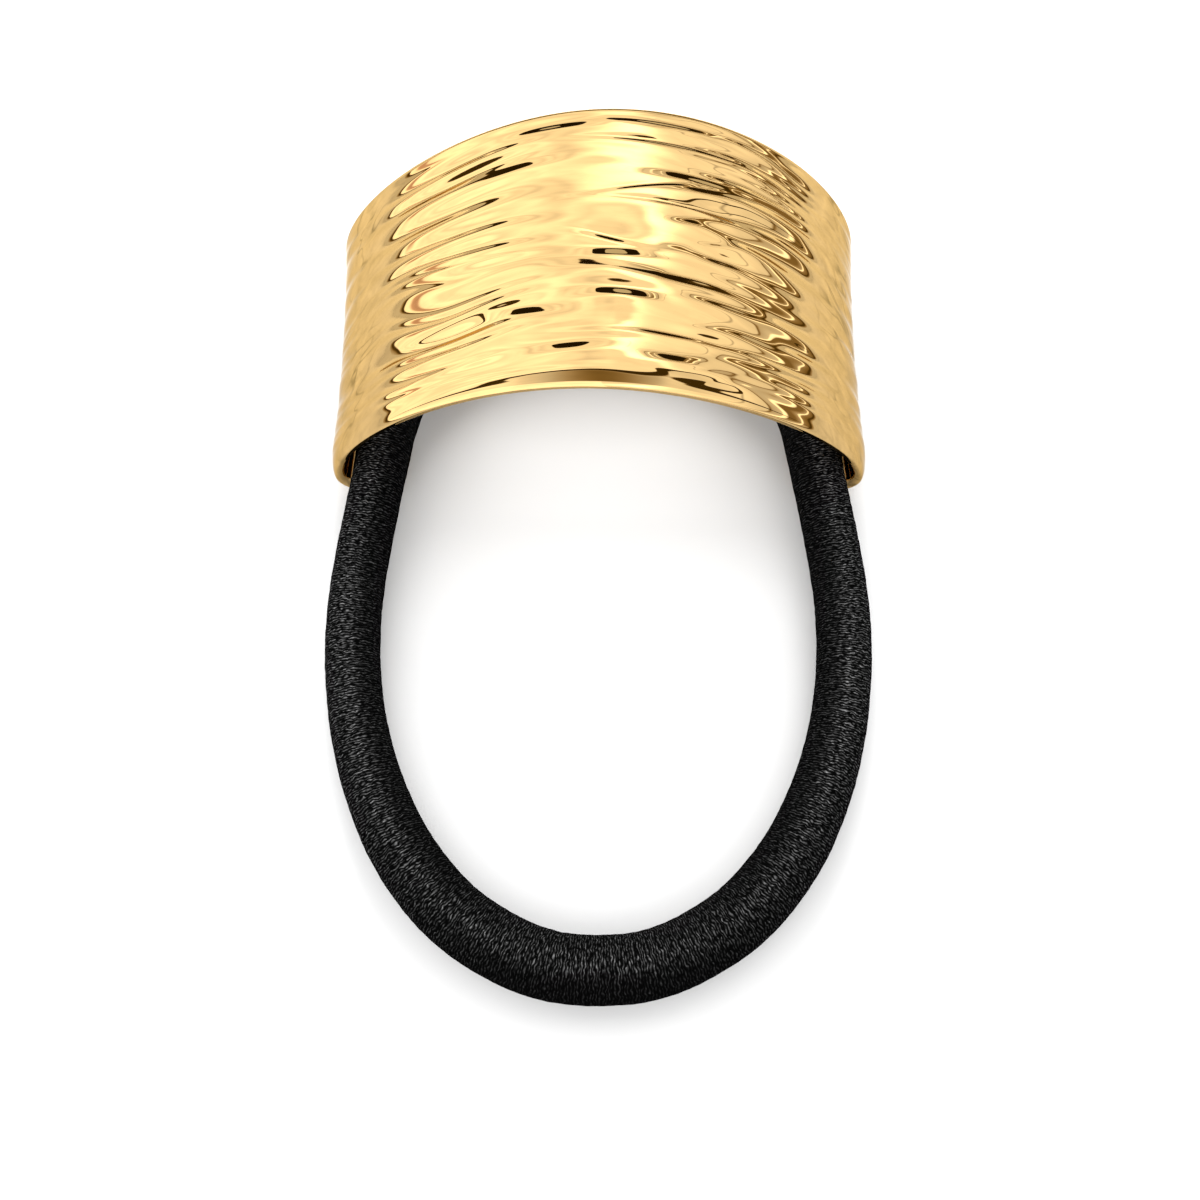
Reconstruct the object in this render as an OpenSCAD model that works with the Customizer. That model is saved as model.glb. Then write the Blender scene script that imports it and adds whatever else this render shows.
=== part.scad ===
// Ponytail cuff. A polished plate is bent into an arch, and its two ends curl inwards
// into hooks. A thick elastic loop lies in the hooks, crosses under the arch behind
// the front edge, and lies on the table in front of it.
// X runs from hook to hook, Y from the loop's bend to the back of the plate, Z is up.

/* [Cuff plate] */
// Width over both hooks
cuff_w = 45; // [38:0.5:60]
// Length of the plate along the ponytail, at the crown
cuff_len = 25; // [15:0.5:40]
// Height of the arch, from the table to the crown
cuff_h = 20; // [14:0.5:30]
// Thickness of the plate
plate_t = 1.2; // [0.8:0.1:1.8]
// How far the crown stays flat, as a share of half the width
crown_share = 0.53; // [0.4:0.01:0.7]
// How far the wall stays upright above the hook, as a share of the arch's height
wall_share = 0.36; // [0.2:0.01:0.5]
// How much narrower the plate's middle is than its edges, on each side
waist = 0.5; // [0:0.05:1.2]
// How much wider the back edge is than the mean of both edges, on each side
back_flare = 0.15; // [0:0.05:0.5]
// How far each edge draws back from the crown to the hooks
end_taper = 1.2; // [0:0.1:3]
// How far the front edge runs out right of the crown, and draws back left of it
front_skew = 0.3; // [0:0.05:0.8]
// How far the back edge runs out right of the crown, and draws back left of it
back_skew = 0.6; // [0:0.05:0.8]

/* [Hooks] */
// Outer radius of the curl at each end
hook_r = 3; // [2:0.1:4.5]
// Length of the flat lip under the elastic
lip_l = 2; // [1:0.1:5]

/* [Ripples] */
// Height of the cast ripples from trough to crest
ripple_depth = 0.24; // [0:0.02:0.4]
// Mean distance from crest to crest
ripple_pitch = 2.1; // [1.6:0.1:4]
// Distance along the arch over which a crest wanders to and fro
ripple_l = 15; // [8:0.5:30]
// Width of the smooth band inside each edge
rim_w = 1.2; // [0.5:0.1:3]

/* [Elastic] */
// Thickness of the elastic where it lies in the hooks
elastic_d = 4.4; // [3:0.1:5]
// How much thicker the elastic is at its bend
elastic_swell = 0.65; // [0:0.05:1]

/* [Hidden] */

half_w = cuff_w / 2;
half_len = cuff_len / 2;
rim_r = plate_t / 2;

// Steps of the plate's sections along the arch, the curl and the lip
arch_steps = 24;
hook_steps = 6;
lip_steps = 2;
tip_turns = [45, 85];
// Facets across the outer face, the inner face and each rounded edge
face_steps = 46;
inner_steps = 6;
rim_turns = [45, 0, -45];

// Trains of waves that make up the ripples: pitch as a share of ripple_pitch, slant
// of the crests, share of ripple_depth, and phase in degrees
PITCH = 0;
SLANT = 1;
DEPTH = 2;
PHASE = 3;
waves = [
    [1.00, 0.07, 0.36, 0],
    [0.86, -0.08, 0.34, 130],
    [1.60, 0.03, 0.30, 250]
];
// How far a crest wanders, in degrees of its own wave
wander = 75;
// The ripples fade out over this last share of the arch, above the hooks
fade_share = 0.3;

// Half of the elastic's route, from the middle of its hidden stretch under the arch,
// over the lip, out of the hook and round to the middle of its bend
ROUTE = [
    [0, 6.6, 2.5], [5, 6.1, 2.5], [9.6, 4.4, 2.7], [13.3, 1.5, 3.2], [15.9, -2.3, 3.7],
    [17.3, -6.4, 3.7], [17.9, -10, 3.7], [18.4, -13.4, 3.6], [19, -17.2, 3.1],
    [19.5, -21, 2.5], [19.6, -24.8, 2.4], [19.3, -28.8, 2.4], [18.5, -33.2, 2.4],
    [17, -37.8, 2.5], [14.6, -42.5, 2.6], [11.2, -46.6, 2.6], [7.5, -49.2, 2.6],
    [3.8, -50.7, 2.6], [0, -51.1, 2.6]
];
// The elastic grows thicker between these two places along Y
swell_from = -28;
swell_to = -50;
route_steps = 2;
tube_sides = 12;

function smooth(t) = let (c = max(0, min(1, t))) c * c * (3 - 2 * c);

// Outer line of the arch, from the crown to the top of the curl
arch_handles = [
    [0, cuff_h],
    [crown_share * half_w, cuff_h],
    [half_w, hook_r + wall_share * (cuff_h - hook_r)],
    [half_w, hook_r]
];

function bezier(p, t) =
    pow(1 - t, 3) * p[0] + 3 * pow(1 - t, 2) * t * p[1]
    + 3 * (1 - t) * t * t * p[2] + pow(t, 3) * p[3];

function bezier_run(p, t) =
    pow(1 - t, 2) * (p[1] - p[0]) + 2 * (1 - t) * t * (p[2] - p[1])
    + t * t * (p[3] - p[2]);

// Sections of the right half: place on the outer line, outward direction, and the
// share of the thickness that is left where the lip's tip is rounded
AT_X = 0;
AT_Z = 1;
OUT_X = 2;
OUT_Z = 3;
LEFT_T = 4;
RUN = 5;

arch_rows = [
    for (i = [0:arch_steps])
        let (t = i / arch_steps)
        let (p = bezier(arch_handles, t))
        let (d = bezier_run(arch_handles, t))
        [p[0], p[1], -d[1] / norm(d), d[0] / norm(d), 1]
];
hook_rows = [
    for (i = [1:hook_steps])
        let (a = 90 * i / hook_steps)
        [half_w - hook_r + hook_r * cos(a), hook_r - hook_r * sin(a), cos(a), -sin(a), 1]
];
lip_rows = [
    for (i = [1:lip_steps])
        [half_w - hook_r - lip_l * i / lip_steps, 0, 0, -1, 1]
];
tip_rows = [
    for (a = tip_turns)
        [half_w - hook_r - lip_l - rim_r * sin(a), 0, 0, -1, cos(a)]
];
half_rows = concat(arch_rows, hook_rows, lip_rows, tip_rows);

function step_length(rows, i) =
    norm([rows[i][AT_X] - rows[i - 1][AT_X], rows[i][AT_Z] - rows[i - 1][AT_Z]]);

// Distance of each section from the crown, measured along the outer line
runs = [
    for (i = 0, s = 0; i < len(half_rows);
         i = i + 1, s = i < len(half_rows) ? s + step_length(half_rows, i) : s) s
];
arch_run = runs[arch_steps];
base_run = runs[arch_steps + hook_steps];

function mirrored(row, run) =
    [-row[AT_X], row[AT_Z], -row[OUT_X], row[OUT_Z], row[LEFT_T], -run];

sections = concat(
    [for (i = [len(half_rows) - 1:-1:1]) mirrored(half_rows[i], runs[i])],
    [for (i = [0:len(half_rows) - 1]) concat(half_rows[i], [runs[i]])]
);

// Distance of an edge from the middle of the plate, at a place along the arch
function edge_y(run, skew) =
    let (a = max(-1, min(1, run / base_run)))
    half_len - end_taper * a * a + skew * sin(180 * a);

// Share by which the arch is narrower or wider at a place along Y
function flare(y) =
    let (b = y / half_len)
    1 - waist / half_w * (1 - b * b) + back_flare / half_w * b;

function wave(w, run, y) =
    w[DEPTH] * sin(
        360 * (y + w[SLANT] * run) / (w[PITCH] * ripple_pitch)
        + wander * sin(360 * run / ripple_l + 2 * w[PHASE]) + w[PHASE]
    );

function ripple(run, y, room) =
    ripple_depth / 2
    * smooth(room / rim_w)
    * smooth((arch_run - abs(run)) / (fade_share * arch_run))
    * (wave(waves[0], run, y) + wave(waves[1], run, y) + wave(waves[2], run, y));

// Place of a point of a section, from its Y and its depth below the outer line
function plate_point(s, y, depth) =
    let (d = rim_r + (depth - rim_r) * s[LEFT_T])
    [s[AT_X] * flare(y) - s[OUT_X] * d, y, s[AT_Z] - s[OUT_Z] * d];

// One closed loop round the plate: outer face, back edge, inner face, front edge
function plate_loop(s) =
    let (back_y = edge_y(s[RUN], back_skew) - rim_r)
    let (front_y = rim_r - edge_y(s[RUN], front_skew))
    let (round_y = rim_r * s[LEFT_T])
    concat(
        [
            for (j = [0:face_steps])
                let (y = front_y + (back_y - front_y) * j / face_steps)
                plate_point(s, y, -ripple(s[RUN], y, min(back_y - y, y - front_y)))
        ],
        [for (a = rim_turns) plate_point(s, back_y + round_y * cos(a), rim_r - rim_r * sin(a))],
        [
            for (j = [0:inner_steps])
                plate_point(s, back_y + (front_y - back_y) * j / inner_steps, plate_t)
        ],
        [for (a = -rim_turns) plate_point(s, front_y - round_y * cos(a), rim_r - rim_r * sin(a))]
    );

function mean(points) = [for (p = points) 1] * points / len(points);

// Side faces between loops of n points, each loop joined to the next one
function skin(m, n) = [
    for (i = [0:m - 2])
        for (j = [0:n - 1])
            for (f = [
                [i * n + j, i * n + (j + 1) % n, (i + 1) * n + (j + 1) % n],
                [i * n + j, (i + 1) * n + (j + 1) % n, (i + 1) * n + j]
            ]) f
];

module cuff() {
    loops = [for (s = sections) plate_loop(s)];
    m = len(loops);
    n = len(loops[0]);
    color("goldenrod")
    polyhedron(
        points = concat(
            [for (loop = loops) for (p = loop) p],
            [mean(loops[0]), mean(loops[m - 1])]
        ),
        faces = concat(
            skin(m, n),
            [for (j = [0:n - 1]) [m * n, (j + 1) % n, j]],
            [for (j = [0:n - 1]) [m * n + 1, (m - 1) * n + j, (m - 1) * n + (j + 1) % n]]
        ),
        convexity = 6
    );
}

// The whole closed route: the right half, then the left half from the bend back up
route = concat(
    ROUTE,
    [for (i = [len(ROUTE) - 2:-1:1]) [-ROUTE[i][0], ROUTE[i][1], ROUTE[i][2]]]
);

function route_at(i) = route[(i + len(route)) % len(route)];

// Smooth curve through the points of the route, after its neighbours on both sides
function on_route(i, t) =
    let (a = route_at(i - 1), b = route_at(i), c = route_at(i + 1), d = route_at(i + 2))
    b + t / 2 * (c - a)
    + t * t / 2 * (2 * a - 5 * b + 4 * c - d)
    + t * t * t / 2 * (3 * b - a - 3 * c + d);

function elastic_r(y) =
    elastic_d / 2 + elastic_swell / 2 * smooth((y - swell_from) / (swell_to - swell_from));

function ring(before, here, after) =
    let (along = (after - before) / norm(after - before))
    let (side = cross(along, [0, 0, 1]) / norm(cross(along, [0, 0, 1])))
    let (up = cross(side, along))
    [
        for (k = [0:tube_sides - 1])
            let (a = 360 * k / tube_sides)
            here + elastic_r(here[1]) * (cos(a) * side + sin(a) * up)
    ];

module elastic_loop() {
    path = [
        for (i = [0:len(route) - 1])
            for (k = [0:route_steps - 1]) on_route(i, k / route_steps)
    ];
    m = len(path);
    rings = [
        for (i = [0:m - 1]) ring(path[(i + m - 1) % m], path[i], path[(i + 1) % m])
    ];
    color("black")
    polyhedron(
        points = [for (r = rings) for (p = r) p],
        faces = [
            for (f = skin(m + 1, tube_sides)) [for (v = f) v % (m * tube_sides)]
        ],
        convexity = 4
    );
}

cuff();
elastic_loop();
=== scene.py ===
"""Ponytail cuff: a rippled gold plate bent into an arch, with a black elastic in its hooks."""

import math

import bpy
import numpy as np
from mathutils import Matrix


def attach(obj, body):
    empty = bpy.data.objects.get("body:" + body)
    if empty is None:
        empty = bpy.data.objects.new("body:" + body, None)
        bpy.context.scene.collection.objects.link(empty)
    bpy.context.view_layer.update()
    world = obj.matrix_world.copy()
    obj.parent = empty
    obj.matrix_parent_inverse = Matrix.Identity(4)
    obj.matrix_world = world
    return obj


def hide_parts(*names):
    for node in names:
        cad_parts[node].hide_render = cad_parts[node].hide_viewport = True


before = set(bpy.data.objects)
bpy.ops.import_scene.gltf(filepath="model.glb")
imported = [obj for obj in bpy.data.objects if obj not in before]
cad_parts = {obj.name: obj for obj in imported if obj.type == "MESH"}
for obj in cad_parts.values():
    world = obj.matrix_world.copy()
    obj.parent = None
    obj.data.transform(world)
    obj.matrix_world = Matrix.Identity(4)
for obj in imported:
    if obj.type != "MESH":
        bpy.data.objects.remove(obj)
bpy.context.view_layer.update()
scene = bpy.context.scene
mm = 0.001


# Camera
# It looks steeply down over the elastic's bend at the arch, from about a hand's length away,
# which is why the plate's back edge bows up and its front edge bows the same way.
camera_place = (0.127 * mm, -62.4 * mm, 103.1 * mm)
camera_elevation = 68.18
picture_width = 1200
focal_pixels = 1344
sensor_width = 36.0

camera = bpy.data.objects.new("camera", bpy.data.cameras.new("camera"))
scene.collection.objects.link(camera)
camera.location = camera_place
camera.rotation_euler = (math.radians(90 - camera_elevation), 0, 0)
camera.data.sensor_width = sensor_width
camera.data.lens = sensor_width * focal_pixels / picture_width
camera.data.clip_start = 1 * mm
camera.data.clip_end = 100
scene.camera = camera
scene.view_settings.view_transform = "Standard"
scene.view_settings.look = "None"


# Elastic loop
# A closed ring of rubber cord, covered with fine black thread that runs round the cord in
# wavy turns. It lies on the table, rises over the lips of the hooks and crosses under the arch.
elastic_d = 4.4 * mm
elastic_swell = 0.65 * mm
swell_from = -28 * mm
swell_to = -50 * mm
rings_count = 2560
sides_count = 38
lumps_round = 16
lump_length = 0.3 * mm
lump_height = 0.02 * mm
lump_seed = 4
thread_pitch = 0.21
thread_wander = 2.2
thread_bump = 0.03 * mm
deep_black = 0.0008
crest_sheen_grey = 0.115
glint_grey = 0.12

# Lumps per millimetre along and round the cord: of the turns' wander, the painted sheen on their
# crests and the painted glints
WANDER_LUMPS = (2.0, 1.6)
SHEEN_LUMPS = (4.2, 2.4)
GLINT_LUMPS = (4.5, 3.0)

# Shares of the painted light, which makes the cord lighter where light falls on it: all over,
# on the sides that face outwards and back, and along the top, down to a drop of top_fade of the
# radius. Which side faces outwards changes over middle_half on either hand of the middle. Painted
# shade takes a part away on the near side and at the bend.
painted_light_all = 0.2
painted_light_side = 0.3
light_outwards = 1.0
light_backwards = 0.6
painted_light_top = 0.5
top_fade = 0.05
painted_shade_near = 0.4
painted_shade_bend = 0.35
middle_half = 8 * mm

# Half of the route in millimetres, from the middle of the hidden stretch under the arch, over
# the lip, out of the hook and round to the middle of the bend
ROUTE = [
    (0, 6.6, 2.5), (5, 6.1, 2.5), (9.6, 4.4, 2.7), (13.3, 1.5, 3.2), (15.9, -2.3, 3.7),
    (17.3, -6.4, 3.7), (17.9, -10, 3.7), (18.4, -13.4, 3.6), (19, -17.2, 3.1),
    (19.5, -21, 2.5), (19.6, -24.8, 2.4), (19.3, -28.8, 2.4), (18.5, -33.2, 2.4),
    (17, -37.8, 2.5), (14.6, -42.5, 2.6), (11.2, -46.6, 2.6), (7.5, -49.2, 2.6),
    (3.8, -50.7, 2.6), (0, -51.1, 2.6),
]


def smooth(t):
    """Smooth step: 3 t squared minus 2 t cubed, with t held between 0 and 1."""
    t = np.clip(t, 0, 1)
    return t * t * (3 - 2 * t)


def closed_curve(points, count):
    """Smooth closed curve: between two points, the cubic whose slope at each point is half
    the step from the point before it to the point after it, at count even shares of the whole."""
    step = np.arange(count) * len(points) / count
    i = step.astype(int)
    t = (step - i)[:, None]
    a, b, c, d = (points[(i + k) % len(points)] for k in (-1, 0, 1, 2))
    return b + t / 2 * (c - a) + t**2 / 2 * (2 * a - 5 * b + 4 * c - d) \
        + t**3 / 2 * (3 * b - a - 3 * c + d)


def drift(u, v, seed):
    """Soft random height: a cubic B-spline through a lattice of seeded random values that
    repeats every 64 steps, so it turns smoothly and has no corner anywhere."""
    size = 64
    lattice = np.random.default_rng(seed).normal(size=(size, size))
    i = np.floor(u).astype(int)
    j = np.floor(v).astype(int)

    def weights(t):
        return (1 - t)**3 / 6, (3 * t**3 - 6 * t**2 + 4) / 6, \
            (-3 * t**3 + 3 * t**2 + 3 * t + 1) / 6, t**3 / 6

    total = 0
    for p, wu in enumerate(weights(u - i)):
        for q, wv in enumerate(weights(v - j)):
            total = total + wu * wv * lattice[(i + p - 1) % size, (j + q - 1) % size]
    return total


def grid_mesh(name, points, wrap_u, wrap_v, caps=False):
    """A closed skin over a grid of points: one four-sided face between each two rows and
    columns, joined round where wrap says so, and a fan from the middle of each end row."""
    m, n = points.shape[:2]
    i, j = np.meshgrid(np.arange(m if wrap_u else m - 1), np.arange(n if wrap_v else n - 1),
                       indexing="ij")
    i2, j2 = (i + 1) % m, (j + 1) % n
    quads = np.stack([i * n + j, i2 * n + j, i2 * n + j2, i * n + j2], -1).reshape(-1, 4)
    places = points.reshape(-1, 3)
    faces = quads.tolist()
    if caps:
        places = np.vstack([places, points[0].mean(0), points[-1].mean(0)])
        k = np.arange(n)
        start = np.stack([0 * k + m * n, k, (k + 1) % n], -1)
        end = np.stack([0 * k + m * n + 1, (m - 1) * n + (k + 1) % n, (m - 1) * n + k], -1)
        faces += start.tolist() + end.tolist()
    mesh = bpy.data.meshes.new(name)
    mesh.from_pydata(places.tolist(), [], faces)
    mesh.shade_smooth()
    piece = bpy.data.objects.new(name, mesh)
    scene.collection.objects.link(piece)
    return piece


def lay_uv(piece, u, v):
    """Puts the two given numbers of each vertex into the piece's own UV map."""
    corners = np.empty(len(piece.data.loops), int)
    piece.data.loops.foreach_get("vertex_index", corners)
    layer = piece.data.uv_layers.new(name="along_and_round")
    layer.data.foreach_set("uv", np.stack([u[corners], v[corners]], -1).ravel())


half_route = np.array(ROUTE) * mm
mirrored = half_route[-2:0:-1] * (-1, 1, 1)
route = closed_curve(np.vstack([half_route, mirrored]), rings_count)
along = np.roll(route, -1, 0) - np.roll(route, 1, 0)
along /= np.linalg.norm(along, axis=1, keepdims=True)
side = np.cross(along, (0, 0, 1))
side /= np.linalg.norm(side, axis=1, keepdims=True)
up = np.cross(side, along)
steps = np.linalg.norm(np.roll(route, -1, 0) - route, axis=1)
run_along = np.cumsum(steps) - steps

# The radius follows the swell at the bend. The wound thread makes the skin a little lumpy. A
# painted light share makes it lighter along its top, more on the outer side of the strands and
# the inner side of the bend, where the light falls, and painted shade darkens its near side.
turn = np.linspace(0, 2 * np.pi, sides_count, endpoint=False)[None, :]
place = run_along[:, None]
swell = smooth((route[:, 1:2] - swell_from) / (swell_to - swell_from))
thick = elastic_d / 2 + elastic_swell / 2 * swell
lumps = drift(place / lump_length + 0 * turn, turn / (2 * np.pi) * lumps_round + 0 * place,
              lump_seed)
radius = thick - lump_height + lump_height * lumps
outward = np.cos(turn)[..., None] * side[:, None] + np.sin(turn)[..., None] * up[:, None]
elastic = grid_mesh("elastic", route[:, None] + radius[..., None] * outward, True, True)
lay_uv(elastic, (place + 0 * turn).ravel() / mm, (turn * thick / mm).ravel())
# Painted light and shade: the share is higher where the cord faces the light from above, the back
# and the sides, and lower on the near side and at the bend.
facing = outward[..., 0] * np.tanh(route[:, :1] / middle_half) * light_outwards \
    + outward[..., 1] * light_backwards
share = painted_light_all + painted_light_side * smooth(0.5 + 1.5 * facing) \
    + painted_light_top * np.exp((outward[..., 2] - 1) / top_fade)
share = share * (1 - painted_shade_near * smooth(-outward[..., 1])) * (1 - painted_shade_bend * swell)
light_share_layer = elastic.data.attributes.new("painted_light_share", "FLOAT", "POINT")
light_share_layer.data.foreach_set("value", share.ravel())


class Wiring:
    """Sums, soft steps and noise among the nodes of one material, or of the studio."""

    def __init__(self, tree):
        self.nodes, self.links = tree.nodes, tree.links

    def feed(self, socket, value):
        """Links a socket to its source, or sets its constant number or colour."""
        if isinstance(value, (int, float)):
            socket.default_value = value
        elif isinstance(value, tuple):
            socket.default_value = (*value, 1)
        else:
            self.links.new(value, socket)

    def calc(self, operation, a, b=0.0):
        """One sum of two values, such as ADD or MULTIPLY, or of the first alone."""
        node = self.nodes.new("ShaderNodeMath")
        node.operation = operation
        self.feed(node.inputs[0], a)
        self.feed(node.inputs[1], b)
        return node.outputs[0]

    def rise(self, value, low, high):
        """Smooth step of a value, from 0 at low to 1 at high."""
        node = self.nodes.new("ShaderNodeMapRange")
        node.interpolation_type = "SMOOTHSTEP"
        self.feed(node.inputs["Value"], value)
        node.inputs["From Min"].default_value = low
        node.inputs["From Max"].default_value = high
        return node.outputs["Result"]

    def noise(self, place, detail, distortion=0.0):
        """Soft noise from 0 to 1, with a lump for each unit of the place."""
        texture = self.nodes.new("ShaderNodeTexNoise")
        texture.inputs["Scale"].default_value = 1.0
        texture.inputs["Detail"].default_value = detail
        texture.inputs["Distortion"].default_value = distortion
        self.links.new(place, texture.inputs["Vector"])
        return texture.outputs["Fac"]


def thread_material():
    """Black thread, kept nearly black in its grooves by painted shade. Its turns lie side by side
    across the cord and wander to and fro: their height is half of one plus the sine, in turns, of
    the run over the pitch plus a noise. A painted sheen is the square of that height times a
    second noise, short painted glints stand where the height times a third noise is high, and
    both are times the painted light share."""
    material = bpy.data.materials.new("black_thread")
    material.use_nodes = True
    wiring = Wiring(material.node_tree)
    nodes, links, calc, rise = wiring.nodes, wiring.links, wiring.calc, wiring.rise
    shader = nodes["Principled BSDF"]
    shader.inputs["Roughness"].default_value = 0.6
    shader.inputs["Specular IOR Level"].default_value = 0.0
    uv = nodes.new("ShaderNodeUVMap")
    uv.uv_map = "along_and_round"

    def noise(along, across):
        """Soft noise with the given number of lumps per millimetre along and round the cord."""
        stretch = nodes.new("ShaderNodeMapping")
        stretch.inputs["Scale"].default_value = (along, across, 1)
        links.new(uv.outputs["UV"], stretch.inputs["Vector"])
        return wiring.noise(stretch.outputs["Vector"], 1.0)

    split = nodes.new("ShaderNodeSeparateXYZ")
    links.new(uv.outputs["UV"], split.inputs[0])
    wander = calc("MULTIPLY", noise(*WANDER_LUMPS), thread_wander)
    phase = calc("ADD", calc("DIVIDE", split.outputs[0], thread_pitch), wander)
    wave = calc("SINE", calc("MULTIPLY", phase, math.tau))
    crest = calc("ADD", calc("MULTIPLY", wave, 0.5), 0.5)
    # Painted sheen on the crests of the turns and painted glints, times the painted light share.
    # The grooves stay nearly black as painted shade.
    sheen_noise = rise(noise(*SHEEN_LUMPS), 0.25, 0.75)
    thread = calc("POWER", calc("MULTIPLY", crest, sheen_noise), 2.0)
    glint = rise(calc("MULTIPLY", crest, noise(*GLINT_LUMPS)), 0.5, 0.7)
    share = nodes.new("ShaderNodeAttribute")
    share.attribute_name = "painted_light_share"
    grey = calc("ADD", calc("MULTIPLY", thread, crest_sheen_grey), calc("MULTIPLY", glint, glint_grey))
    grey = calc("ADD", calc("MULTIPLY", grey, share.outputs["Fac"]), deep_black)
    tone = nodes.new("ShaderNodeCombineColor")
    for channel in tone.inputs:
        links.new(grey, channel)
    links.new(tone.outputs[0], shader.inputs["Base Color"])
    bump = nodes.new("ShaderNodeBump")
    bump.inputs["Strength"].default_value = 1.0
    bump.inputs["Distance"].default_value = thread_bump
    links.new(crest, bump.inputs["Height"])
    links.new(bump.outputs["Normal"], shader.inputs["Normal"])
    return material


elastic.data.materials.append(thread_material())
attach(elastic, "root")
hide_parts("elastic_loop")


# Cuff plate
# One cast and polished plate, gold plated. It is bent into an arch, both ends curl inwards
# into hooks, and long shallow ripples run over its outer face from hook to hook. Its sizes
# are in millimetres.
cuff_w = 45.0
cuff_len = 25.0
cuff_h = 20.0
plate_t = 1.2
crown_share = 0.53
wall_share = 0.36
waist = 0.5
back_flare = 0.15
end_taper = 1.2
front_skew = 0.3
back_skew = 0.6
hook_r = 3.0
lip_l = 2.0
roll_w = 2.4
roll_d = 0.6
sections_count = 300
face_points = 262
inner_points = 11
rim_points = 9
tip_points = 7
even_share = 0.56
packed_share = 0.44
plated_gold = (0.455, 0.304, 0.128)
gold_glint = (0.76, 0.66, 0.5)

# Plating: its haze, the tone of its painted reflection streaks, and the painted reflection marks
# of the upright walls, which begin and are full at two distances from the middle
least_haze = 0.01
most_haze = 0.04
darkest_painted_streak = 0.94
palest_painted_streak = 1.05
wall_begins = 16.8
wall_full = 19.0
painted_mottle_depth = 0.15
painted_line_depth = 0.48
painted_line_half = 0.032
faint_painted_line = 0.2

# Noise in the plating's haze and painted reflection marks: size of its lumps along X, Y and Z,
# turn about X, detail, distortion
HAZE = ((6.25, 6.25, 6.25), 0, 3.0, 0.0)
PAINTED_STREAKS = ((3.6, 0.5, 3.6), -0.35, 3.0, 0.8)
PAINTED_MOTTLE = ((1.2, 1.0, 2.2), -0.45, 2.0, 0.6)
PAINTED_LINES = ((5.0, 1.7, 5.0), -0.5, 1.5, 0.5)

half_w = cuff_w / 2
half_len = cuff_len / 2
rim_r = plate_t / 2


def half_line():
    """The right half of the outer line in X and Z: a cubic from the crown to the top of the
    curl, then a quarter circle, then the flat lip. It gives each point, its outward
    direction, its distance from the crown, and the runs where the arch and the curl end."""
    arch_points, curl_points, lip_points = 1000, 200, 40
    handles = np.array([(0, cuff_h), (crown_share * half_w, cuff_h),
                        (half_w, hook_r + wall_share * (cuff_h - hook_r)), (half_w, hook_r)])
    t = np.linspace(0, 1, arch_points)[:, None]
    arch = (1 - t)**3 * handles[0] + 3 * (1 - t)**2 * t * handles[1] \
        + 3 * (1 - t) * t**2 * handles[2] + t**3 * handles[3]
    way = (1 - t)**2 * (handles[1] - handles[0]) + 2 * (1 - t) * t * (handles[2] - handles[1]) \
        + t**2 * (handles[3] - handles[2])
    way /= np.linalg.norm(way, axis=1, keepdims=True)
    arch_out = np.stack([-way[:, 1], way[:, 0]], 1)
    a = np.linspace(0, np.pi / 2, curl_points)[1:]
    curl_out = np.stack([np.cos(a), -np.sin(a)], 1)
    curl = (half_w - hook_r, hook_r) + hook_r * curl_out
    x = np.linspace(half_w - hook_r, half_w - hook_r - lip_l, lip_points)[1:]
    lip = np.stack([x, 0 * x], 1)
    line = np.vstack([arch, curl, lip])
    out = np.vstack([arch_out, curl_out, 0 * lip + (0, -1)])
    run = np.concatenate([[0], np.cumsum(np.linalg.norm(np.diff(line, axis=0), axis=1))])
    return line, out, run, run[len(arch) - 1], run[len(arch) + len(curl) - 1]


line, line_out, line_run, arch_run, base_run = half_line()
full_run = line_run[-1]


def edge_y(run, skew):
    """Distance of an edge from the plate's middle: half the length, less the taper times the
    square of the place from the crown to the curl's end, plus the skew times a sine of it, so
    that the plate is longer right of the crown than left of it."""
    a = np.clip(run / base_run, -1, 1)
    return half_len - end_taper * a**2 + skew * np.sin(np.pi * a)


def flare(y):
    """Share of the arch's full width at a place along Y: one, less the waist times one minus
    the square of the place, plus the flare times the place, each over half the width."""
    b = y / half_len
    return 1 - waist / half_w * (1 - b**2) + back_flare / half_w * b


# The ripples of each side from the back edge to the front one: place along Y and slope of the
# flanks, broad ones that rise towards the back and narrow ones that fall towards it in turn
LEFT_FLANKS = [
    (12.5, 0), (11.6, 0.05), (10.9, 0.15), (9.9, -0.27), (9.1, 0.32), (8.2, -0.31), (6.7, 0.1),
    (5.2, -0.29), (3.5, 0.18), (2.75, -0.27), (1.3, 0.12), (0.6, -0.28), (-0.1, 0.05),
    (-0.4, -0.2), (-0.7, 0.16), (-1.5, -0.24), (-2.4, 0.12), (-3.4, -0.31), (-3.75, 0.05),
    (-4.2, -0.3), (-5.5, 0.26), (-6.9, -0.3), (-7.4, 0.1), (-7.9, -0.3), (-8.7, 0.12),
    (-9.6, -0.27), (-9.95, 0.1), (-10.5, -0.2), (-11.1, 0.25), (-11.7, -0.2), (-12.5, 0),
]
RIGHT_FLANKS = [
    (12.5, 0), (11.6, 0.2), (11.1, -0.3), (10.7, 0.1), (10.3, -0.15), (9.9, 0.12),
    (9.35, -0.35), (8.9, 0.1), (8.45, -0.3), (8.05, 0.08), (7.7, -0.2), (7.3, 0.2),
    (6.8, -0.3), (6.2, 0.28), (5.4, -0.35), (4.1, 0.25), (2.8, -0.35), (1.5, 0.28),
    (0.4, -0.35), (-0.3, 0.15), (-0.9, -0.2), (-1.5, 0.2), (-2.2, -0.3), (-2.9, 0),
    (-3.8, -0.4), (-5, 0.3), (-6.1, -0.35), (-7.4, 0.28), (-8.1, -0.3), (-8.6, 0.1),
    (-9.2, -0.35), (-10, 0.12), (-10.5, -0.25), (-11, 0.12), (-11.4, -0.3), (-11.8, 0.2),
    (-12.5, 0),
]

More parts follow.
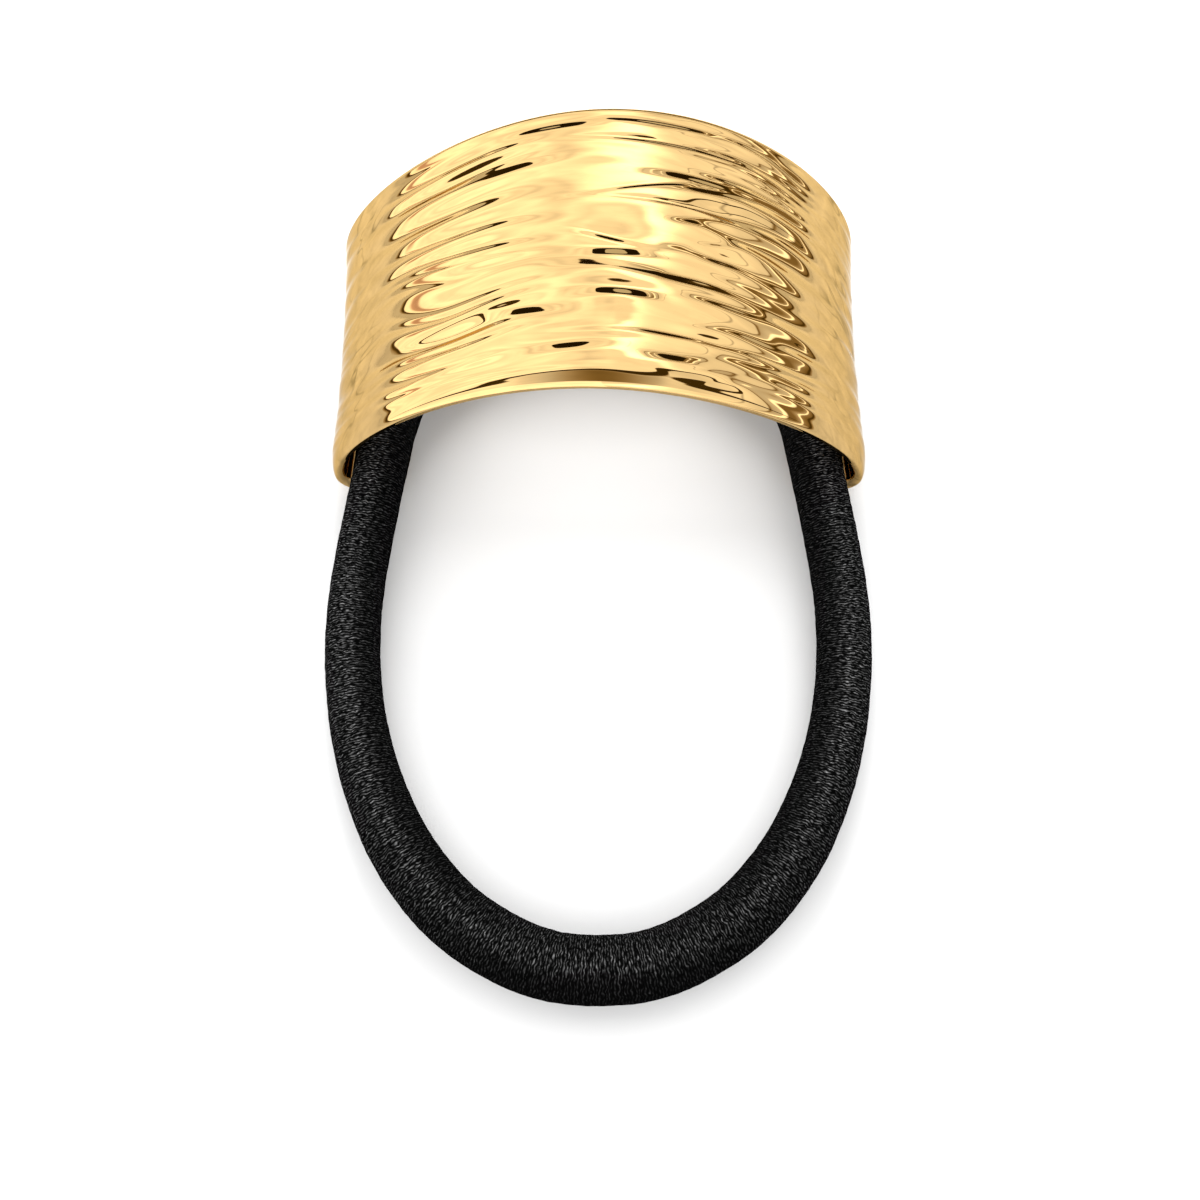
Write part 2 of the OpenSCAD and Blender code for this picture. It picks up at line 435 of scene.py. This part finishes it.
# The single steps of the crown: middle along the arch and along Y, half length, half width,
# slope, and slant. They fall towards the back, and the one with a negative slope rises.
STEPS = [
    (-4, 10.75, 4.6, 0.55, 0.42, 0.04), (6, 11.3, 5, 0.3, 0.3, 0),
    (-6.6, 7.25, 4.4, 0.45, 0.35, 0.1), (-5.8, -5.8, 3, 0.42, 0.38, -0.06),
    (-1.9, -9.3, 4.2, 0.48, 0.48, 0.02), (0.5, -2.25, 4.6, 0.56, 0.45, -0.1),
    (8, -3.1, 4.2, 0.36, 0.28, -0.03), (1.3, -1, 2.6, 0.5, 0.64, 0),
    (1.6, -4.8, 3.4, 0.52, 0.64, -0.04), (4, -8, 6, 0.24, 0.4, -0.02),
    (5.3, -10, 2.4, 0.4, 0.42, 0), (8.2, 6.5, 4.8, 0.4, 0.44, 0), (5.5, -6.2, 4, 0.4, -0.1, 0),
    (3.2, 5, 4.4, 0.2, 0.44, 0.2), (7, 3.6, 7, 0.14, 0.42, -0.05),
    (6, 9.35, 8, 0.16, 0.4, 0), (0.9, 0.3, 2.6, 0.28, 0.52, -0.2),
    (-7, -11.1, 8, 0.3, 0.4, -0.03),
]

# Soft random swells of the outer face: length along the arch, width along Y, and seed
WANDER = (6, 4, 21)
LEFT_CHANGE = (4, 2, 4)
RIGHT_CHANGE = (3, 1.5, 5)
BROAD_SWELLS = (8, 1.9, 31)
LEFT_FINGERS = (4, 0.8, 32)
RIGHT_SWIRLS = (4.5, 0.65, 33)

# The runs beside the crown over which each side's ripples come in, and spread along Y
LEFT_IN = (1, 10)
RIGHT_IN = (3, 10)
SPREAD = (8, 20)
spread_share = 0.08

# Strengths: how far the ripples wander, the share of each side's own height and how much it
# changes, the broad swells all over and more at the crown, and the fine swells of each part
wander = 0.9
left_share = 1.08
left_change = 0.3
right_share = 0.65
right_change = 0.5
broad_all = 0.06
broad_crown = 0.15
fine_left = 0.08
fine_crown = 0.02
fine_right = 0.13
swirl_slant = 0.1

# The profiles run past both edges in even steps. Their slopes lose a share of their mean, which
# is taken under a bell curve of the given width, cut off at its reach.
profile_end = 13
profile_steps = 2600
mean_width = 2.5
mean_reach = 6.0
mean_lost = 0.9

# Where the relief fades: over a distance inside each edge and above each hook, and by a share
# on the upright walls and beside a single step. In half widths of the step, the ripples are
# calm over the first distance, and its own height returns over the second.
edge_fade = 1.2
hook_fade = 3
WALLS = (18, 22)
wall_calm = 0.6
step_calm = 0.75
calm_reach = 2
step_reach = 10


def ripple_profile(flanks, sharpness):
    """Heights across one side's ripples: between two flanks the slope follows a smooth step
    raised to the given power, which keeps the falling flanks narrow. The slopes lose most of
    their own mean, taken under a bell curve along Y, and are then summed along Y."""
    places, slopes = np.array(flanks)[::-1].T
    y = np.linspace(-profile_end, profile_end, profile_steps + 1)
    step = y[1] - y[0]
    reach = round(mean_reach / step)
    i = np.clip(np.searchsorted(places, y) - 1, 0, len(places) - 2)
    t = (y - places[i]) / (places[i + 1] - places[i])
    high = np.maximum(slopes[i], slopes[i + 1])
    low = np.minimum(slopes[i], slopes[i + 1])
    t = np.where(slopes[i + 1] < slopes[i], t, 1 - t)
    slope = high + (low - high) * smooth(t)**sharpness
    near = np.exp(-(np.arange(-reach, reach + 1) * step / mean_width)**2)
    mean = np.convolve(slope, near, "same") / np.convolve(0 * y + 1, near, "same")
    height = np.cumsum(slope - mean_lost * mean) * step
    return y, height - height.mean()


left_profile = ripple_profile(LEFT_FLANKS, 1.7)
right_profile = ripple_profile(RIGHT_FLANKS, 1.6)


def swells(run, y, kind):
    """Soft random height of one kind: the drift at the run over its length and Y over its
    width."""
    length, width, seed = kind
    return drift(run / length, y / width, seed)


def rising(value, span):
    """Smooth step of a value, from 0 at the start of a span to 1 at its end."""
    low, high = span
    return smooth((value - low) / (high - low))


def relief(run, y):
    """Height of the outer face over the outer line. Each side has its own ripples, read at a Y
    that wanders and spreads towards the hooks, and times a share that changes. Soft swells are
    added. With u along and v across a step, in its half lengths and half widths, the step's
    height is its slope times its half width, times e to the minus u squared, times the tanh of
    v over its reach less v over the sixth root of one plus v to the sixth. The ripples are
    calmer beside a step, and all fades out at the edges and towards the hooks."""
    left = rising(-run, LEFT_IN)
    right = rising(run, RIGHT_IN)
    crown = 1 - left - right
    spread = 1 + spread_share * rising(np.abs(run), SPREAD)
    across = y * spread + wander * swells(run, y, WANDER)
    h = left * np.interp(across, *left_profile) * (
        left_share + left_change * swells(run, y, LEFT_CHANGE))
    h = h + right * np.interp(across, *right_profile) * (
        right_share + right_change * swells(run, y, RIGHT_CHANGE))
    h = h + (broad_all + broad_crown * crown) * swells(run, across, BROAD_SWELLS)
    h = h + fine_left * left * swells(run, across, LEFT_FINGERS)
    h = h + (fine_crown * crown + fine_right * right) * swells(
        run, y + swirl_slant * run, RIGHT_SWIRLS)
    steps, quiet = 0, 0
    for middle, at_y, half_l, half_b, slope, slant in STEPS:
        u = (run - middle) / half_l
        v = (y - at_y - slant * (run - middle)) / half_b
        fall = v / (1 + v**6)**(1 / 6) - np.tanh(v / step_reach)
        steps = steps - slope * half_b * fall * np.exp(-u**2)
        quiet = np.maximum(quiet, np.exp(-u**2 - (v / calm_reach)**2))
    room = np.minimum(edge_y(run, back_skew) - y, edge_y(run, front_skew) + y) - rim_r
    calm = 1 - wall_calm * rising(np.abs(run), WALLS)
    ends = smooth((arch_run - np.abs(run)) / hook_fade)
    return (h * (1 - step_calm * quiet) + steps) * smooth(room / edge_fade) * calm * ends


def rolled(y, edge):
    """Depth of the front edge's roll: a quarter ellipse that ends upright at the edge."""
    u = np.clip(1 - (y - edge) / roll_w, 0, 1)
    return roll_d * (1 - np.sqrt(1 - u**2))


def plate_points():
    """The plate's whole skin, a row for each section along the arch: outer face, back edge,
    inner face and front edge. Their runs are an even share of the full run plus a share that
    grows by a fifth-power law, so that the sections lie closer near the crown.
    The lips' tips are rounded, with less thickness left there."""
    t = np.linspace(-1, 1, sections_count)
    run = full_run * (even_share * t + packed_share * t**5)
    tip = np.linspace(0, np.pi / 2, tip_points + 1)[1:-1]
    run = np.concatenate([0 * tip - full_run, run, 0 * tip + full_run])
    past = np.concatenate([-rim_r * np.sin(tip[::-1]), np.zeros(sections_count),
                           rim_r * np.sin(tip)])
    left = np.concatenate([np.cos(tip[::-1]), np.ones(sections_count), np.cos(tip)])[:, None]
    hand = np.sign(run)
    x = np.interp(np.abs(run), line_run, line[:, 0]) * hand - past
    z = np.interp(np.abs(run), line_run, line[:, 1])
    out_x = np.interp(np.abs(run), line_run, line_out[:, 0]) * hand
    out_z = np.interp(np.abs(run), line_run, line_out[:, 1])
    length = np.hypot(out_x, out_z)
    x, z, out_x, out_z = (c[:, None] for c in (x, z, out_x / length, out_z / length))
    run = run[:, None]
    back_y = edge_y(run, back_skew) - rim_r
    front_edge = -edge_y(run, front_skew)
    front_y = front_edge + rim_r
    face_y = front_y + (back_y - front_y) * np.linspace(0, 1, face_points)[None, :]
    inner_y = back_y + (front_y - back_y) * np.linspace(0, 1, inner_points)[None, :]
    a = np.linspace(np.pi / 2, -np.pi / 2, rim_points + 2)[None, 1:-1]
    down = np.linspace(np.pi / 2, 0, rim_points)[None, 1:]
    up = np.linspace(np.pi / 2, np.arcsin(1 - rim_r / roll_w), rim_points + 1)[None, 1:-1]
    y = np.hstack([face_y, back_y + rim_r * left * np.cos(a), inner_y,
                   front_y - rim_r * left * np.cos(down),
                   front_y - (rim_r - roll_w * (1 - np.sin(up))) * left])
    depth = np.hstack([rolled(face_y, front_edge) - relief(run, face_y),
                       rim_r - rim_r * np.sin(a) + 0 * run, plate_t + 0 * inner_y,
                       roll_d + (plate_t - roll_d) * np.sin(down) + 0 * run,
                       roll_d * (1 - np.cos(up)) + 0 * run])
    depth = rim_r + (depth - rim_r) * left
    return np.stack([x * flare(y) - out_x * depth, y, z - out_z * depth], -1) * mm


def gold_material():
    """Polished gold plating, a clean mirror with a trace of haze. Its tone is the gold times
    faint painted streaks of reflection that run along the ripples. On the upright walls it is
    also times one, plus a painted mottling of reflection, minus fine painted dark lines where the
    reflection breaks, which lie where a noise crosses its middle and are fainter where there is
    less haze."""
    material = bpy.data.materials.new("polished_gold")
    material.use_nodes = True
    wiring = Wiring(material.node_tree)
    nodes, links, calc = wiring.nodes, wiring.links, wiring.calc
    shader = nodes["Principled BSDF"]
    shader.inputs["Metallic"].default_value = 1.0
    shader.inputs["Specular Tint"].default_value = (*gold_glint, 1)
    where = nodes.new("ShaderNodeTexCoord")

    def noise(lumps, turned, detail, distortion):
        """Soft noise with lumps of the given sizes along X, Y and Z, turned about X."""
        stretch = nodes.new("ShaderNodeMapping")
        stretch.vector_type = "TEXTURE"
        stretch.inputs["Rotation"].default_value = (turned, 0, 0)
        stretch.inputs["Scale"].default_value = [size * mm for size in lumps]
        links.new(where.outputs["Object"], stretch.inputs["Vector"])
        return wiring.noise(stretch.outputs["Vector"], detail, distortion)

    def between(value, low, high, start, end):
        """Straight line of a value, from start at low to end at high."""
        node = nodes.new("ShaderNodeMapRange")
        links.new(value, node.inputs["Value"])
        for socket, number in zip(list(node.inputs)[1:5], (low, high, start, end)):
            socket.default_value = number
        return node.outputs["Result"]

    haze = noise(*HAZE)
    links.new(between(haze, 0, 1, least_haze, most_haze), shader.inputs["Roughness"])
    # Painted reflection: the streaks, and on the walls the mottling and the dark lines, stand in
    # the colour for changes in what the mirror shows.
    painted_streaks = between(noise(*PAINTED_STREAKS), 0.35, 0.65, darkest_painted_streak, palest_painted_streak)
    place = nodes.new("ShaderNodeSeparateXYZ")
    links.new(where.outputs["Object"], place.inputs[0])
    from_middle = calc("ABSOLUTE", place.outputs[0])
    wall = between(from_middle, wall_begins * mm, wall_full * mm, 0, 1)
    painted_mottle = between(noise(*PAINTED_MOTTLE), 0.3, 0.7, -painted_mottle_depth, painted_mottle_depth)
    beside = calc("ABSOLUTE", calc("SUBTRACT", noise(*PAINTED_LINES), 0.5))
    painted_line = calc("MULTIPLY", between(beside, 0, painted_line_half, -painted_line_depth, 0),
                  between(haze, 0.45, 0.55, faint_painted_line, 1))
    painted_marks = calc("ADD", 1.0, calc("MULTIPLY", wall, calc("ADD", painted_mottle, painted_line)))
    tone = nodes.new("ShaderNodeVectorMath")
    tone.operation = "SCALE"
    tone.inputs[0].default_value = plated_gold
    links.new(calc("MULTIPLY", painted_streaks, painted_marks), tone.inputs["Scale"])
    links.new(tone.outputs["Vector"], shader.inputs["Base Color"])
    return material


plate = grid_mesh("cuff_plate", plate_points(), False, True, caps=True)
plate.data.materials.append(gold_material())
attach(plate, "root")
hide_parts("cuff")


# Floor
# A plain white table top, wide enough to reach past the picture on all sides.
floor_r = 0.45
floor_sides = 96
floor_white = 0.5

ring = np.linspace(0, 2 * np.pi, floor_sides, endpoint=False)
floor_mesh = bpy.data.meshes.new("floor")
floor_mesh.from_pydata(
    np.stack([floor_r * np.cos(ring), floor_r * np.sin(ring), 0 * ring], -1).tolist(),
    [], [list(range(floor_sides))])
floor = bpy.data.objects.new("floor", floor_mesh)
scene.collection.objects.link(floor)
paper = bpy.data.materials.new("white_floor")
paper.use_nodes = True
shader = paper.node_tree.nodes["Principled BSDF"]
shader.inputs["Base Color"].default_value = (floor_white, floor_white, floor_white, 1)
shader.inputs["Roughness"].default_value = 0.9
shader.inputs["Specular IOR Level"].default_value = 0.0
floor_mesh.materials.append(paper)


# Soft panels
# A large panel stands low behind the cuff. It shines through the arch, and throws the
# elastic's shadow forward, beyond the bend. One panel hangs on either side.
panel_size = 0.18
panel_distance = 0.25
# Name, degrees to the right of straight behind, degrees above the table, and power
PANELS = [
    ("back_panel", 0, 25, 1.45),
    ("left_panel", -75, 55, 0.07),
    ("right_panel", 75, 55, 0.07),
]

for name, azimuth, elevation, power in PANELS:
    turned, raised = math.radians(azimuth), math.radians(elevation)
    glow = bpy.data.lights.new(name, "AREA")
    glow.shape = "DISK"
    glow.size = panel_size
    glow.energy = power
    panel = bpy.data.objects.new(name, glow)
    scene.collection.objects.link(panel)
    panel.location = (panel_distance * math.cos(raised) * math.sin(turned),
                      panel_distance * math.cos(raised) * math.cos(turned),
                      panel_distance * math.sin(raised))
    panel.rotation_euler = (raised - math.pi / 2, 0, -turned)
    panel.visible_glossy = False


# Studio light
# A white tent, brighter on its left and in front and seamed on its right, stands over a sweep
# of the table's paper and a dark gap. A warm panel stands low on the left, a lamp hangs right
# of the middle, and a dark rod and the dim ceiling cross overhead.
sweep_rise = 8.0
sweep_spread = 45.0
sweep_shade = 0.9
side_gap = 2.1
side_gap_glow = 0.15
back_gap = 11.0
back_gap_spread = 35.0
back_gap_glow = 0.03
tent_glow = 2.3
dome_glow = 0.1
fold_depth = 1.9
folds_across = 2.0
fold_degrees = 9.0
left_boost = 1.25
front_glow = 0.5
brightest = 4.0
lamp_glow = 2.8
lamp_slope = 0.29
lamp_spread = 0.26
ceiling_glow = 0.42
ceiling_spread = 0.55
rod_glow = 0.1
paper_glow = 1.3
background = 0.97
white = (1.0, 1.0, 1.0)
warm = (1.0, 0.62, 0.1)
warm_below = 1.5
panel_colour = (0.5, 0.34, 0.3)

# Where the tent changes, from and to, in degrees: up, round to the left and the right, and
# over to the front. Then the borders of the paper, of the gap's glow and of the gap itself.
DOME_UP = (30, 60)
LEFT_ROUND = (-50, -25)
RIGHT_ROUND = (10, 28)
FRONT_OVER = (124, 134)
PAPER_BORDER = (-0.2, 0.2)
GLOW_BORDER = (0.2, 1.4)
GAP_BORDER = (-0.1, 0.5)

# Where each begins and ends, in degrees, and the soft border inside both ends: lamp up from
# the table, ceiling and rod over from the back, low panel round from there and over the gap
LAMP_UP = (38, 66, 9)
CEILING_OVER = (86, 107, 4)
ROD_OVER = (81.5, 89, 1)
PANEL_ROUND = (-72, -44, 6)
PANEL_UP = (2, 8, 2)

# Degrees above the gap and brightness of the seamed right side of the tent
SEAMED_SIDE = [
    (0, 0.35), (3, 0.7), (3.6, 3.9), (4.4, 1), (7, 0.45), (10, 0.45), (11, 3.2), (12, 3.9),
    (13, 1.5), (17, 1.15), (18, 0.35), (19, 1.8), (28, 2.3), (29, 1.15), (30, 2.3), (60, 2.3),
]

world = bpy.data.worlds.new("studio")
scene.world = world
world.use_nodes = True
wiring = Wiring(world.node_tree)
nodes, links = wiring.nodes, wiring.links
feed, calc, rise = wiring.feed, wiring.calc, wiring.rise


def strip(value, low, high, soft):
    """1 between low and high, with a soft border inside each."""
    return calc("SUBTRACT", rise(value, low, low + soft), rise(value, high - soft, high))


def bell(value, spread, power):
    """Bell curve of a value: e to the minus value over spread, to an even power."""
    share = calc("ABSOLUTE", calc("DIVIDE", value, spread))
    return calc("EXPONENT", calc("MULTIPLY", calc("POWER", share, power), -1.0))


def over(below, above, share):
    """The brightness above in place of the one below, by a share from 0 to 1."""
    return calc("ADD", calc("MULTIPLY", below, calc("SUBTRACT", 1.0, share)),
                calc("MULTIPLY", above, share))


def mixed(a, b, share):
    """The colour b in place of a, by a share from 0 to 1."""
    node = nodes.new("ShaderNodeMix")
    node.data_type = "RGBA"
    feed(node.inputs["Factor"], share)
    feed(node.inputs["A"], a)
    feed(node.inputs["B"], b)
    return node.outputs["Result"]


def stripes(value, stops):
    """Brightness of the seamed side, straight between its stops."""
    span = stops[-1][0]
    ramp = nodes.new("ShaderNodeValToRGB")
    feed(ramp.inputs["Fac"], calc("DIVIDE", value, span))
    colours = ramp.color_ramp.elements
    while len(colours) < len(stops):
        colours.new(1.0)
    for stop, (angle, light) in zip(colours, stops):
        stop.position = angle / span
        stop.color = (light / brightest,) * 3 + (1,)
    return calc("MULTIPLY", ramp.outputs["Color"], brightest)


# Each direction's angles in degrees: up from the table, round from straight behind, and over
# from the back to the front, then up from the sweep and from the gap
direction = nodes.new("ShaderNodeSeparateXYZ")
links.new(nodes.new("ShaderNodeTexCoord").outputs["Generated"], direction.inputs[0])
x, y, z = direction.outputs
elevation = calc("MULTIPLY", calc("ARCSINE", z), math.degrees(1))
azimuth = calc("MULTIPLY", calc("ARCTAN2", x, y), math.degrees(1))
overhead = calc("MULTIPLY", calc("ARCTAN2", z, y), math.degrees(1))
over_sweep = calc("SUBTRACT", elevation,
                  calc("MULTIPLY", bell(azimuth, sweep_spread, 2), sweep_rise))
behind = bell(azimuth, back_gap_spread, 6)
over_gap = calc("SUBTRACT", over_sweep,
                calc("ADD", calc("MULTIPLY", behind, back_gap), side_gap))

# The tent: soft folds, the brighter left side, and the seams on the right
cloth = nodes.new("ShaderNodeCombineXYZ")
feed(cloth.inputs[0], calc("MULTIPLY", x, folds_across))
feed(cloth.inputs[1], calc("DIVIDE", overhead, fold_degrees))
folds = calc("SUBTRACT", wiring.noise(cloth.outputs[0], 0.6), 0.5)
plain = calc("ADD", calc("MULTIPLY", folds, fold_depth),
             calc("ADD", calc("MULTIPLY", rise(elevation, *DOME_UP), dome_glow), tent_glow))
plain = calc("MULTIPLY", plain, over(left_boost, 1.0, rise(azimuth, *LEFT_ROUND)))
tent = over(plain, stripes(over_gap, SEAMED_SIDE), rise(azimuth, *RIGHT_ROUND))

# What hangs in it: the lamp, the brighter front, the ceiling and the rod
slope_x = calc("DIVIDE", x, calc("MAXIMUM", z, 0.01))
lamp = calc("MULTIPLY", bell(calc("SUBTRACT", slope_x, lamp_slope), lamp_spread, 2),
            strip(elevation, *LAMP_UP))
light = calc("ADD", tent, calc("MULTIPLY", lamp, lamp_glow))
light = calc("ADD", light, calc("MULTIPLY", rise(overhead, *FRONT_OVER), front_glow))
ceiling = calc("MULTIPLY", strip(overhead, *CEILING_OVER), bell(x, ceiling_spread, 2))
light = over(light, ceiling_glow, ceiling)
light = over(light, rod_glow, strip(overhead, *ROD_OVER))

# The sweep and the gap under the tent, and the colours of the dim parts
foot = over(sweep_shade, side_gap_glow, rise(over_sweep, *GLOW_BORDER))
light = over(over(foot, back_gap_glow, behind), light, rise(over_gap, *GAP_BORDER))
colour = mixed(warm, white, rise(light, 0, warm_below))
low_panel = calc("MULTIPLY", strip(azimuth, *PANEL_ROUND), strip(over_gap, *PANEL_UP))
colour = mixed(colour, panel_colour, low_panel)
above_table = rise(over_sweep, *PAPER_BORDER)
light = over(paper_glow, light, above_table)
colour = mixed(white, colour, above_table)

# The colours show in the gold alone, and the camera sees an even white
ray = nodes.new("ShaderNodeLightPath")
plain_ray = calc("ADD", ray.outputs["Is Camera Ray"], ray.outputs["Is Diffuse Ray"])
sky = nodes["Background"]
links.new(mixed(colour, white, plain_ray), sky.inputs["Color"])
links.new(over(light, background, ray.outputs["Is Camera Ray"]), sky.inputs["Strength"])
